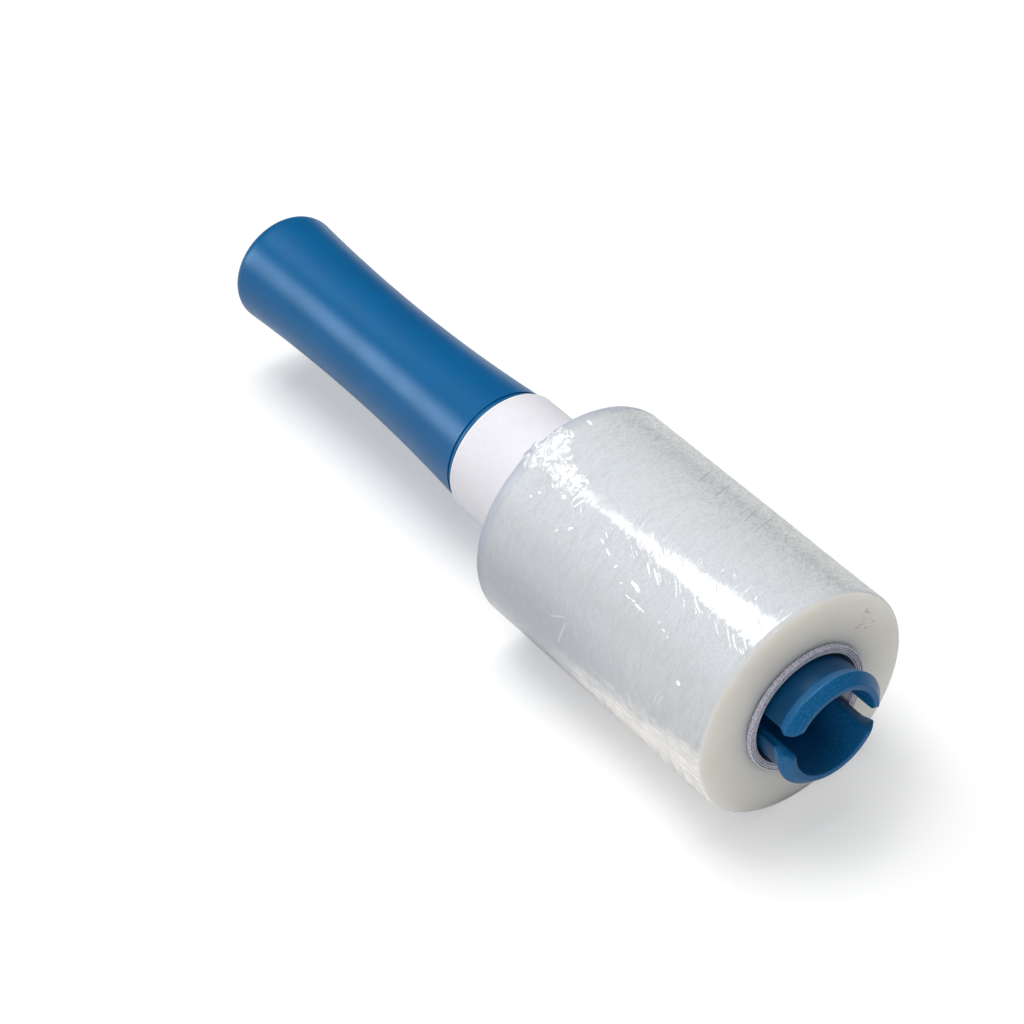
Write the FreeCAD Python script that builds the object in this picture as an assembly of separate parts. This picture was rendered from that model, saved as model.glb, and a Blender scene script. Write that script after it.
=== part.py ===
"""Small stretch wrap roll on a reusable snap-in handle, lying on its film.

The roll's axis runs along X. The split snap tip of the handle points to +X and the grip to -X.
The origin is on the surface that the film lies on, under the middle of the whole length.
The handle is one hollow moulding, which carries the cardboard core with the film wound on it.
All sizes are in millimetres.
"""
import FreeCAD
import Part

import math
import os

# Film, wound on the core
FILM_WIDTH = 100.0
FILM_RADIUS = 36.3
FILM_FRONT_ROUND = 1.1
FILM_BACK_ROUND = 2.2
FILM_FACE_CROWN = 1.3
FLAT_SPOT_DEPTH = 0.3

# How far a cutter reaches past the faces that it cuts
OVERCUT = 1.0

# Cardboard core, longer than the film on both sides
CORE_BORE_RADIUS = 17.9
CORE_WALL = 2.6
CORE_FRONT_STAND = 2.5
CORE_COLLAR_LENGTH = 33.0
CORE_EDGE_ROUND = 0.4

# Handle: the spindle that the core turns on
SPINDLE_CLEARANCE = 0.9
SPINDLE_WALL = 3.2
SHOULDER_GAP = 0.3

# Handle: the split tip with its snap lips
LIP_PLAY = 6.0
LIP_RAMP_LENGTH = 3.0
LIP_HEIGHT = 1.4
LIP_RIDGE_ROUND = 0.6
NOSE_LENGTH = 2.7
NOSE_FALL = 2.8
RIM_ROUND = 0.5
SLOT_WIDTH = 6.4
SLOT_DEPTH = 36.0
SLOT_TILT = -13.2
FINGER_CORNER_ROUND = 1.9

# Handle: the waisted grip
GRIP_LENGTH = 118.0
GRIP_SHOULDER_RADIUS = 19.7
GRIP_WAIST_RADIUS = 16.85
GRIP_WAIST_STATION = 64.0
GRIP_END_RADIUS = 18.85
GRIP_END_ROUND = 4.0
GRIP_END_WALL = 4.0
BEAD_WIDTH = 1.4
BEAD_ROUND = 0.35
GROOVE_WIDTH = 0.6
GROOVE_DEPTH = 0.4

# What follows from the sizes above
CORE_RADIUS = CORE_BORE_RADIUS + CORE_WALL
SPINDLE_RADIUS = CORE_BORE_RADIUS - SPINDLE_CLEARANCE
BORE_RADIUS = SPINDLE_RADIUS - SPINDLE_WALL
TIP_REACH = CORE_FRONT_STAND + LIP_PLAY + LIP_RAMP_LENGTH + NOSE_LENGTH
OVERALL_LENGTH = GRIP_LENGTH + SHOULDER_GAP + CORE_COLLAR_LENGTH + FILM_WIDTH + TIP_REACH

# Places along X, from the snap tip back to the end of the grip
TIP_X = OVERALL_LENGTH / 2
FILM_FRONT_X = TIP_X - TIP_REACH
CORE_FRONT_X = FILM_FRONT_X + CORE_FRONT_STAND
LIP_FOOT_X = CORE_FRONT_X + LIP_PLAY
LIP_RIDGE_X = LIP_FOOT_X + LIP_RAMP_LENGTH
FILM_BACK_X = FILM_FRONT_X - FILM_WIDTH
CORE_BACK_X = FILM_BACK_X - CORE_COLLAR_LENGTH
SHOULDER_X = CORE_BACK_X - SHOULDER_GAP
WAIST_X = SHOULDER_X - GRIP_WAIST_STATION
GRIP_END_X = SHOULDER_X - GRIP_LENGTH

# The film's flat spot lies on the surface, so the axis is a little lower than the film's radius
AXIS_Z = FILM_RADIUS - FLAT_SPOT_DEPTH


def point(x, radius):
    """Give a point of a turned profile, drawn above the roll's axis."""
    return FreeCAD.Vector(x, 0, AXIS_Z + radius)


def chain(corners):
    """Join corners (x, radius, round) with lines, each inner corner rounded by a tangent arc."""
    edges = []
    start = point(*corners[0][:2])
    for here, after in zip(corners[1:-1], corners[2:]):
        corner = point(*here[:2])
        into = (corner - start).normalize()
        out_of = (point(*after[:2]) - corner).normalize()
        if here[2] == 0:
            leave = corner
            edges.append(Part.makeLine(start, corner))
        else:
            turn = into.getAngle(out_of)
            setback = here[2] * math.tan(turn / 2)
            enter = corner - into * setback
            leave = corner + out_of * setback
            inward = (out_of - into).normalize()
            middle = corner + inward * (here[2] / math.cos(turn / 2) - here[2])
            edges.append(Part.makeLine(start, enter))
            edges.append(Part.Arc(enter, middle, leave).toShape())
        start = leave
    edges.append(Part.makeLine(start, point(*corners[-1][:2])))
    return edges


def side_radius(run, rise):
    """Give the radius of the arc that leaves the waist level and gains rise over run."""
    return (run**2 + rise**2) / (2 * rise)


def between(start, end, centre):
    """Give the point half way along the arc about centre from start to end."""
    middle = (start - centre) + (end - centre)
    return centre + middle.normalize() * (start - centre).Length


def turned(edges):
    """Turn a closed profile about the roll's axis into a solid."""
    profile = Part.Face(Part.Wire(edges))
    return profile.revolve(FreeCAD.Vector(0, 0, AXIS_Z), FreeCAD.Vector(1, 0, 0), 360)


def grip_outline():
    """Draw the grip from the axis, round its closed end and over the waist to the groove."""
    back_radius = side_radius(WAIST_X - GRIP_END_X, GRIP_END_RADIUS - GRIP_WAIST_RADIUS)
    back_centre = point(WAIST_X, GRIP_WAIST_RADIUS + back_radius)
    round_run = WAIST_X - GRIP_END_X - GRIP_END_ROUND
    round_drop = math.sqrt((back_radius + GRIP_END_ROUND)**2 - round_run**2)
    round_centre = back_centre + FreeCAD.Vector(-round_run, 0, -round_drop)
    to_side = (back_centre - round_centre).normalize()
    to_end = FreeCAD.Vector(-1, 0, 0)
    half_way = (to_side + to_end).normalize()
    end_edge = round_centre + to_end * GRIP_END_ROUND
    side_start = round_centre + to_side * GRIP_END_ROUND
    waist = point(WAIST_X, GRIP_WAIST_RADIUS)
    shoulder_x = SHOULDER_X - BEAD_WIDTH - GROOVE_WIDTH
    front_radius = side_radius(shoulder_x - WAIST_X, GRIP_SHOULDER_RADIUS - GRIP_WAIST_RADIUS)
    front_centre = point(WAIST_X, GRIP_WAIST_RADIUS + front_radius)
    shoulder = point(shoulder_x, GRIP_SHOULDER_RADIUS)
    return [
        Part.makeLine(point(GRIP_END_X, 0), end_edge),
        Part.Arc(end_edge, round_centre + half_way * GRIP_END_ROUND, side_start).toShape(),
        Part.Arc(side_start, between(side_start, waist, back_centre), waist).toShape(),
        Part.Arc(waist, between(waist, shoulder, front_centre), shoulder).toShape(),
    ]


def shoulder_and_spindle():
    """Draw the groove and bead of the shoulder, the spindle and the tip with its snap lip."""
    groove_x = SHOULDER_X - BEAD_WIDTH - GROOVE_WIDTH
    groove_radius = GRIP_SHOULDER_RADIUS - GROOVE_DEPTH
    ridge_radius = SPINDLE_RADIUS + LIP_HEIGHT
    return chain([
        (groove_x, GRIP_SHOULDER_RADIUS, 0),
        (groove_x, groove_radius, 0),
        (groove_x + GROOVE_WIDTH, groove_radius, 0),
        (groove_x + GROOVE_WIDTH, GRIP_SHOULDER_RADIUS, BEAD_ROUND),
        (SHOULDER_X, GRIP_SHOULDER_RADIUS, BEAD_ROUND),
        (SHOULDER_X, SPINDLE_RADIUS, 0),
        (LIP_FOOT_X, SPINDLE_RADIUS, 0),
        (LIP_RIDGE_X, ridge_radius, LIP_RIDGE_ROUND),
        (TIP_X, ridge_radius - NOSE_FALL, RIM_ROUND),
        (TIP_X, BORE_RADIUS, RIM_ROUND),
        (LIP_RIDGE_X, BORE_RADIUS, 0),
    ])


def bore():
    """Draw the smooth bore, from behind the tip to its closed end in the grip."""
    bottom_x = GRIP_END_X + GRIP_END_WALL
    return [
        Part.makeLine(point(LIP_RIDGE_X, BORE_RADIUS), point(bottom_x, BORE_RADIUS)),
        Part.makeLine(point(bottom_x, BORE_RADIUS), point(bottom_x, 0)),
        Part.makeLine(point(bottom_x, 0), point(GRIP_END_X, 0)),
    ]


def slot_tool():
    """Make the cutter of both slots: a round root, parallel sides and a flared mouth."""
    half = SLOT_WIDTH / 2
    reach = SPINDLE_RADIUS + LIP_HEIGHT + OVERCUT
    outside_x = TIP_X + OVERCUT
    root_x = TIP_X - SLOT_DEPTH
    flare_x = TIP_X - FINGER_CORNER_ROUND
    mouth = half + FINGER_CORNER_ROUND
    bend = FINGER_CORNER_ROUND * (1 - math.sqrt(0.5))

    def at(x, across):
        return FreeCAD.Vector(x, -reach, AXIS_Z + across)

    outline = Part.Wire([
        Part.Arc(at(root_x + half, -half), at(root_x, 0), at(root_x + half, half)).toShape(),
        Part.makeLine(at(root_x + half, half), at(flare_x, half)),
        Part.Arc(at(flare_x, half), at(TIP_X - bend, half + bend), at(TIP_X, mouth)).toShape(),
        Part.makeLine(at(TIP_X, mouth), at(outside_x, mouth)),
        Part.makeLine(at(outside_x, mouth), at(outside_x, -mouth)),
        Part.makeLine(at(outside_x, -mouth), at(TIP_X, -mouth)),
        Part.Arc(at(TIP_X, -mouth), at(TIP_X - bend, -half - bend), at(flare_x, -half)).toShape(),
        Part.makeLine(at(flare_x, -half), at(root_x + half, -half)),
    ])
    tool = Part.Face(outline).extrude(FreeCAD.Vector(0, 2 * reach, 0))
    tool.rotate(FreeCAD.Vector(0, 0, AXIS_Z), FreeCAD.Vector(1, 0, 0), SLOT_TILT)
    return tool


def make_handle():
    """Make the one-piece handle: grip, shoulder, spindle and split snap tip."""
    body = turned(grip_outline() + shoulder_and_spindle() + bore())
    return body.cut(slot_tool())


def make_core():
    """Make the cardboard tube with its softly rounded ends."""
    return turned(chain([
        (FILM_BACK_X, CORE_BORE_RADIUS, 0),
        (CORE_BACK_X, CORE_BORE_RADIUS, CORE_EDGE_ROUND),
        (CORE_BACK_X, CORE_RADIUS, CORE_EDGE_ROUND),
        (CORE_FRONT_X, CORE_RADIUS, CORE_EDGE_ROUND),
        (CORE_FRONT_X, CORE_BORE_RADIUS, CORE_EDGE_ROUND),
        (FILM_BACK_X, CORE_BORE_RADIUS, 0),
    ]))


def make_film_roll():
    """Make the wound film: crowned front face, rounded edges and a flat spot underneath."""
    crown_x = FILM_FRONT_X + FILM_FACE_CROWN
    roll = turned(chain([
        (FILM_BACK_X, CORE_RADIUS, 0),
        (FILM_BACK_X, FILM_RADIUS, FILM_BACK_ROUND),
        (FILM_FRONT_X, FILM_RADIUS, FILM_FRONT_ROUND),
        (crown_x, CORE_RADIUS, 0),
        (FILM_BACK_X, CORE_RADIUS, 0),
    ]))
    below = Part.makeBox(
        FILM_WIDTH + 2 * OVERCUT, 2 * FILM_RADIUS, FILM_RADIUS,
        FreeCAD.Vector(FILM_BACK_X - OVERCUT, -FILM_RADIUS, -FILM_RADIUS),
    )
    return roll.cut(below)


def main():
    """Build the three pieces and write one STEP file for each."""
    os.makedirs("parts", exist_ok=True)
    pieces = {
        "handle": make_handle(),
        "core": make_core(),
        "film_roll": make_film_roll(),
    }
    for name, piece in pieces.items():
        solid = piece.Solids[0]
        solid.exportStep("parts/" + name + ".step")
        print(name, "valid", solid.isValid(), "volume cm3", round(solid.Volume / 1000, 2))


main()
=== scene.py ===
"""Looks of a narrow stretch wrap roll on a blue snap-in handle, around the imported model.

The roll's axis runs along X, the split snap tip points to +X, and the film lies on the floor at
z = 0. All sizes are in metres and all angles about the roll's axis are in degrees from +Y, so
that 90 is straight up and 180 is towards -Y.
"""
import logging
import math
from dataclasses import dataclass
from enum import Enum

import bpy
import numpy as np
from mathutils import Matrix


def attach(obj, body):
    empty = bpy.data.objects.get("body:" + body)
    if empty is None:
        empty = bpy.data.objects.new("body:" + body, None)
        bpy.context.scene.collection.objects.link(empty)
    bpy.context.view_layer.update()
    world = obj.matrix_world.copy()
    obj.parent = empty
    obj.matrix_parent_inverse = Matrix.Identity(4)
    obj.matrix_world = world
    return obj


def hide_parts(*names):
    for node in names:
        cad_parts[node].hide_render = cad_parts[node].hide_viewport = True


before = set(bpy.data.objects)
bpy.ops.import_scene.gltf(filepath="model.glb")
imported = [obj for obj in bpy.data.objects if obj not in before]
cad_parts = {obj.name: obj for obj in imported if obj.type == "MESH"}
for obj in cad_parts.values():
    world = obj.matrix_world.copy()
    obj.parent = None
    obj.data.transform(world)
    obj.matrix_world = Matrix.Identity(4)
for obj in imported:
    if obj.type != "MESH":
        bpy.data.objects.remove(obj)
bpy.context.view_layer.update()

MM = 0.001
log = logging.getLogger("wrap_roll")

Profile = list[tuple[float, float]]
Colour = tuple[float, float, float]


def tint(red: int, green: int, blue: int) -> Colour:
    """Turn a colour as seen on a screen, 0 to 255, into the shader's linear numbers.

    Args:
        red: Red as seen.
        green: Green as seen.
        blue: Blue as seen.

    Returns:
        The linear colour.
    """
    def linear(level: int) -> float:
        """Undo the screen's curve for one channel."""
        part = level / 255
        return part / 12.92 if part <= 0.04045 else ((part + 0.055) / 1.055) ** 2.4

    return linear(red), linear(green), linear(blue)


class Body(Enum):
    """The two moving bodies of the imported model."""

    HANDLE = "handle"
    ROLL = "roll"


class Slot(Enum):
    """The record's material slots."""

    PLASTIC = "handle_plastic"
    BOARD = "core_board"
    FILM = "stretch_film"


@dataclass(frozen=True)
class Value:
    """A number that changes over a surface, written with Python's own operators."""

    graph: "Graph"
    socket: bpy.types.NodeSocket

    def math(self, operation: str, *others: "Value | float") -> "Value":
        """Add one Math node on this value.

        Args:
            operation: The Math node's operation.
            others: Its further operands.

        Returns:
            The node's result.
        """
        sockets = dict(enumerate((self, *others)))
        made = self.graph.node("ShaderNodeMath", {"operation": operation}, sockets)
        return Value(self.graph, made.outputs[0])

    def __add__(self, other: "Value | float") -> "Value":
        """Add."""
        return self.math("ADD", other)

    __radd__ = __add__

    def __sub__(self, other: "Value | float") -> "Value":
        """Subtract."""
        return self.math("SUBTRACT", other)

    def __rsub__(self, other: float) -> "Value":
        """Subtract from a number."""
        return self.math("MULTIPLY_ADD", -1.0, other)

    def __mul__(self, other: "Value | float") -> "Value":
        """Multiply."""
        return self.math("MULTIPLY", other)

    __rmul__ = __mul__

    def __pow__(self, other: float) -> "Value":
        """Raise to a power."""
        return self.math("POWER", other)

    def __abs__(self) -> "Value":
        """Take the size without its sign."""
        return self.math("ABSOLUTE")

    def ramp(self, low: float, high: float) -> "Value":
        """Rise smoothly from 0 to 1 from low to high, or fall where high is less.

        Args:
            low: Where the result is 0.
            high: Where the result is 1.

        Returns:
            The result, between 0 and 1.
        """
        settings = {"interpolation_type": "SMOOTHSTEP"}
        made = self.graph.node("ShaderNodeMapRange", settings, {0: self, 1: low, 2: high})
        return Value(self.graph, made.outputs[0])

    def crest(self, sharpness: float) -> "Value":
        """Draw thin winding lines where a noise passes its middle."""
        return (1 - abs(self - 0.5) * 2) ** sharpness


class Nodes:
    """The node tree of a material or of the surroundings."""

    def __init__(self, owner: bpy.types.Material | bpy.types.World) -> None:
        """Take over the owner's tree and empty it.

        Args:
            owner: The material or world.
        """
        owner.use_nodes = True
        self.tree = owner.node_tree
        self.tree.nodes.clear()

    def node(
        self,
        kind: str,
        settings: dict[str, object],
        sockets: dict[int | str, object],
    ) -> bpy.types.Node:
        """Add any node.

        Args:
            kind: The node's type.
            settings: Its properties, set before its sockets.
            sockets: Values or links of its inputs, by name or place.

        Returns:
            The node.
        """
        made = self.tree.nodes.new(kind)
        for name, value in settings.items():
            setattr(made, name, value)
        for key, value in sockets.items():
            entry = made.inputs[key]
            if isinstance(value, Value):
                value = value.socket
            if isinstance(value, bpy.types.NodeSocket):
                self.tree.links.new(value, entry)
            elif isinstance(value, tuple) and entry.type == "RGBA":
                entry.default_value = (*value, 1.0)
            else:
                entry.default_value = value
        return made


class Graph(Nodes):
    """One new material's nodes."""

    def __init__(self, name: str) -> None:
        """Start an empty material.

        Args:
            name: The material's name.
        """
        self.material = bpy.data.materials.new(name)
        super().__init__(self.material)
        self.place = self.node("ShaderNodeTexCoord", {}, {}).outputs["Object"]

    def scaled(self, along: float, across: float | None = None) -> bpy.types.NodeSocket:
        """Give the place on the piece, counted in pattern cells.

        Args:
            along: Cells per metre along the roll.
            across: Cells per metre across it, or None for the same.

        Returns:
            The scaled place.
        """
        wide = along if across is None else across
        sockets = {0: self.place, 3: (along, wide, wide)}
        return self.node("ShaderNodeMapping", {"vector_type": "POINT"}, sockets).outputs[0]

    def combine(
        self, x: Value, y: Value | float = 0.0, z: Value | float = 0.0
    ) -> bpy.types.NodeSocket:
        """Make a place from three values."""
        return self.node("ShaderNodeCombineXYZ", {}, {0: x, 1: y, 2: z}).outputs[0]

    def noise(
        self, place: bpy.types.NodeSocket, detail: float = 2.0, warp: float = 0.0,
        rough: float = 0.5,
    ) -> Value:
        """Add a noise whose cells are one unit wide.

        Args:
            place: The scaled place.
            detail: Octaves on top of the first.
            warp: Distortion.
            rough: How strong each further octave is.

        Returns:
            The noise, around 0.5.
        """
        made = self.node("ShaderNodeTexNoise", {"noise_dimensions": "3D"}, {
            "Vector": place, "Scale": 1.0, "Detail": detail, "Roughness": rough,
            "Distortion": warp,
        })
        return Value(self, made.outputs[0])

    def mix(self, share: Value, low: object, high: object) -> bpy.types.NodeSocket:
        """Mix two colours.

        Args:
            share: Share of the second colour.
            low: The first colour or socket.
            high: The second colour or socket.

        Returns:
            The mixed colour.
        """
        settings = {"data_type": "RGBA"}
        return self.node("ShaderNodeMix", settings, {0: share, 6: low, 7: high}).outputs[2]

    def vector(self, operation: str, *operands: object) -> bpy.types.NodeSocket:
        """Add one Vector Math node.

        Args:
            operation: The node's operation.
            operands: Its inputs in order. A number goes to the Scale input.

        Returns:
            The resulting vector.
        """
        sockets: dict[int | str, object] = {}
        for index, operand in enumerate(operands):
            number = isinstance(operand, (Value, float))
            sockets["Scale" if number else index] = operand
        made = self.node("ShaderNodeVectorMath", {"operation": operation}, sockets)
        return made.outputs[0]

    def bump(self, height: Value, distance: float, normal: object = None) -> bpy.types.NodeSocket:
        """Turn a height into a normal.

        Args:
            height: The height, counted in distances.
            distance: What a height of 1 measures, in metres.
            normal: The normal to start from, or None for the surface's own.

        Returns:
            The normal.
        """
        sockets = {"Height": height, "Strength": 1.0, "Distance": distance}
        if normal is not None:
            sockets["Normal"] = normal
        return self.node("ShaderNodeBump", {}, sockets).outputs[0]

    def parts(self) -> tuple[Value, Value, Value]:
        """Give the place's x, y and z as values."""
        x, y, z = self.node("ShaderNodeSeparateXYZ", {}, {0: self.place}).outputs
        return Value(self, x), Value(self, y), Value(self, z)

    def polar(self, axis_height: float) -> tuple[Value, Value, Value]:
        """Give the place's x, its radius from the roll's axis and its angle about it.

        Args:
            axis_height: Height of the roll's axis.

        Returns:
            Both lengths in metres, and the angle in degrees from +Y.
        """
        x, y, z = self.parts()
        up = z - axis_height
        return x, (y * y + up * up) ** 0.5, up.math("ARCTAN2", y) * (180 / math.pi)

    def surface(self, sockets: dict[int | str, object]) -> bpy.types.Material:
        """Close the graph with one Principled shader.

        Args:
            sockets: Values or links of the shader's inputs.

        Returns:
            The finished material.
        """
        shader = self.node("ShaderNodeBsdfPrincipled", {}, sockets)
        self.node("ShaderNodeOutputMaterial", {}, {"Surface": shader.outputs[0]})
        return self.material


@dataclass(frozen=True)
class MouldedPlastic:
    """Satin blue moulded plastic, eroded at the tip, with painted shade on the spindle and painted
    light on the lip's ramp.
    """

    axis_height: float
    bore_radius: float
    ramp_foot: float
    ridge: float
    exposed_from: float = 118.0 * MM
    colour: Colour = tint(0, 95, 151)
    worn_colour: Colour = tint(0, 91, 145)
    speck: Colour = tint(74, 130, 172)
    painted_spindle_shade: Colour = tint(0, 48, 82)
    painted_ramp_light: Colour = tint(84, 118, 146)
    gloss: float = 0.33

    def build(self) -> bpy.types.Material:
        """Make the material."""
        graph = Graph("handle_plastic_finish")
        x, radius, _ = graph.polar(self.axis_height)
        outside = radius.ramp(self.bore_radius + 1.2 * MM, self.bore_radius + 2.4 * MM)
        # Painted shade: the spindle between the film's face and the lip is darkened where the film
        # shades it.
        shaded_seat = x.ramp(self.exposed_from - 2 * MM, self.exposed_from) * outside
        shaded_seat = shaded_seat * x.ramp(self.ramp_foot + 0.2 * MM, self.ramp_foot - 0.4 * MM)
        # Painted light: the lip's ramp, which faces back towards the lamps, is lightened.
        ramp = x.ramp(self.ramp_foot, self.ramp_foot + 0.5 * MM) * outside
        ramp = ramp * x.ramp(self.ridge, self.ridge - 0.5 * MM)
        eroded = x.ramp(self.exposed_from, self.exposed_from + 2 * MM)
        patches = graph.noise(graph.scaled(60.0), detail=3.0, warp=0.6)
        grain = graph.noise(graph.scaled(2600.0), rough=0.7)
        marks = graph.noise(graph.scaled(260.0, 2600.0), warp=0.4)
        scuffs = marks.ramp(0.62, 0.72) * patches.ramp(0.45, 0.65)
        colour = graph.mix(patches.ramp(0.35, 0.7), self.colour, self.worn_colour)
        # Painted shade on the spindle.
        colour = graph.mix(shaded_seat * 0.75, colour, self.painted_spindle_shade)
        # Painted light on the lip's ramp, broken up by the patches.
        colour = graph.mix(ramp * patches.ramp(0.3, 0.6) * 0.35, colour, self.painted_ramp_light)
        specks = grain.ramp(0.48, 0.66) * eroded * (1 - shaded_seat) * 0.5
        height = grain * (eroded * 2.2 + 0.25) + scuffs * 0.5
        return graph.surface({
            "Base Color": graph.mix(specks, colour, self.speck),
            "Roughness": self.gloss + (patches - 0.5) * 0.10 + scuffs * 0.08,
            "IOR": 1.5,
            "Specular IOR Level": 0.35,
            "Specular Tint": (0.66, 0.86, 1.0),
            "Normal": graph.bump(height, 0.012 * MM),
        })


@dataclass(frozen=True)
class WoundBoard:
    """Pale paper board: smooth outside, speckled at its cut ends where the plies show."""

    axis_height: float
    bore_radius: float
    ply: float
    back: float
    front: float
    skin: Colour = tint(234, 233, 238)
    # The rim colour is a painted highlight along the back edge of the skin.
    rim: Colour = tint(250, 244, 232)
    cut: Colour = tint(222, 221, 231)
    speck: Colour = tint(138, 141, 172)
    groove: Colour = tint(52, 50, 62)
    ply_white: Colour = tint(240, 239, 246)

    def build(self) -> bpy.types.Material:
        """Make the material of the tube's skin."""
        graph = Graph("core_board_skin")
        fibres = graph.noise(graph.scaled(900.0), detail=4.0, warp=0.8)
        clouds = graph.noise(graph.scaled(70.0), detail=2.0)
        shade = fibres.ramp(0.3, 0.75) * 0.35 + clouds.ramp(0.3, 0.7) * 0.35
        x, _, _ = graph.parts()
        specks = graph.noise(graph.scaled(2400.0), detail=3.0)
        bare = graph.mix(specks.ramp(0.40, 0.62), self.cut, self.speck)
        colour = graph.mix(shade, self.skin, self.cut)
        # Painted highlight: a cream line along the skin's back edge, beside the handle's shoulder.
        colour = graph.mix(x.ramp(self.back + 0.9 * MM, self.back + 0.3 * MM), colour, self.rim)
        colour = graph.mix(x.ramp(self.front - 1.9 * MM, self.front - 0.9 * MM), colour, bare)
        return graph.surface({
            "Base Color": colour,
            "Roughness": 0.62,
            "IOR": 1.45,
            "Normal": graph.bump(fibres, 0.02 * MM),
        })

    def build_cut(self) -> bpy.types.Material:
        """Make the material of the tube's cut ends, with the lines between its plies."""
        graph = Graph("core_board_cut")
        _, radius, _ = graph.polar(self.axis_height)
        wobble = graph.noise(graph.scaled(120.0), detail=3.0)
        turn = (radius - self.bore_radius) * (1 / self.ply) + (wobble - 0.5) * 0.25
        line = turn.math("FRACT")
        from_line = abs(line - 0.5)
        gap = from_line.ramp(0.36, 0.47)
        white = from_line.ramp(0.30, 0.14)
        broken = graph.noise(graph.scaled(260.0), detail=2.0).ramp(0.35, 0.6)
        specks = graph.noise(graph.scaled(2400.0), detail=3.0)
        colour = graph.mix(specks.ramp(0.42, 0.66), self.cut, self.speck)
        colour = graph.mix(white * 0.6, colour, self.ply_white)
        colour = graph.mix(gap * broken * 0.85, colour, self.groove)
        return graph.surface({
            "Base Color": colour,
            "Roughness": 0.8,
            "IOR": 1.4,
            "Normal": graph.bump(specks * 0.7 + (1 - gap) * 0.6, 0.08 * MM),
        })


class Look(Enum):
    """What a mark on the film is."""

    GLINT = "glint"
    SHADE = "shade"
    CREASE = "crease_shade"


@dataclass(frozen=True)
class Mark:
    """A small mark on the film: a facet that catches a lamp, a shaded wrinkle or a pale crease.

    The place is given in millimetres along X and in degrees about the axis, the half length and
    half width in millimetres, and the slant in degrees from the direction of the turns.
    """

    x: float
    turn: float
    length: float
    width: float
    slant: float
    look: Look


MARK_ROWS = {
    Look.GLINT: (
        (76.6, 133.2, 0.62, 2.4, 12.0), (77.4, 138.6, 0.16, 2.2, -4.0),
        (81.6, 139.2, 0.32, 2.2, 2.0), (39.1, 123.5, 0.8, 0.7, 20.0),
        (37.4, 122.4, 0.45, 0.4, 20.0), (31.6, 129.3, 0.5, 0.4, 0.0),
        (30.0, 132.8, 0.45, 0.45, 0.0), (47.6, 132.5, 0.9, 0.35, 30.0),
        (67.4, 132.2, 0.5, 0.45, 0.0), (72.0, 136.0, 0.3, 0.35, 0.0),
        (92.0, 139.7, 0.24, 0.8, 14.0), (94.4, 141.0, 0.2, 0.6, 14.0),
        (89.6, 138.4, 0.2, 0.4, 0.0), (104.5, 153.5, 0.6, 0.8, 25.0),
        (23.7, 88.4, 0.5, 1.4, 10.0), (44.0, 137.0, 0.3, 0.3, 0.0),
        (42.5, 119.0, 2.4, 0.4, 12.0), (44.4, 121.5, 2.0, 0.35, 16.0),
        (58.6, 127.5, 0.28, 1.0, 14.0), (62.4, 129.6, 0.3, 1.4, 16.0),
        (79.0, 123.5, 0.25, 1.8, 30.0), (80.8, 124.8, 0.25, 2.2, 34.0),
        (96.0, 122.5, 0.25, 2.4, 24.0),
    ),
    Look.CREASE: (
        (100.7, 166.4, 2.6, 0.3, 20.0), (99.0, 167.0, 2.4, 0.25, 8.0),
        (90.0, 181.0, 3.4, 0.35, -32.0), (86.5, 184.0, 2.6, 0.3, -40.0),
        (59.0, 176.0, 5.0, 0.4, 16.0), (56.5, 169.5, 3.5, 0.3, 60.0),
    ),
    Look.SHADE: (
        (78.3, 64.8, 8.4, 0.22, -25.1), (83.5, 65.1, 8.6, 0.22, -23.7),
        (58.4, 66.0, 6.3, 0.22, -25.4), (66.0, 65.7, 7.0, 0.22, -24.5),
    ),
}
MARKS = tuple(Mark(*row, look) for look, rows in MARK_ROWS.items() for row in rows)


@dataclass(frozen=True)
class Strokes:
    """One layer of strokes drawn round the roll, with width and length in millimetres.

    The slant is how far a stroke runs along X for each millimetre of its length, and the detail
    counts the octaves on top of the first.
    """

    wide: float
    long: float
    slant: float
    detail: float


THREADS = Strokes(0.40, 4.5, 0.14, 2.0)
CROSSING_THREADS = Strokes(0.36, 3.5, -0.26, 2.0)
BROAD_STREAKS = Strokes(1.7, 9.0, 0.06, 3.0)
GRAIN = Strokes(0.42, 0.7, 0.1, 2.0)
CRINKLES = Strokes(1.1, 3.6, 0.5, 2.0)
HAIRS = Strokes(5.0, 13.0, 0.3, 2.0)
SPIKES = Strokes(0.34, 5.0, 0.04, 1.0)
COMETS = Strokes(1.0, 4.0, 1.5, 1.0)


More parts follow.
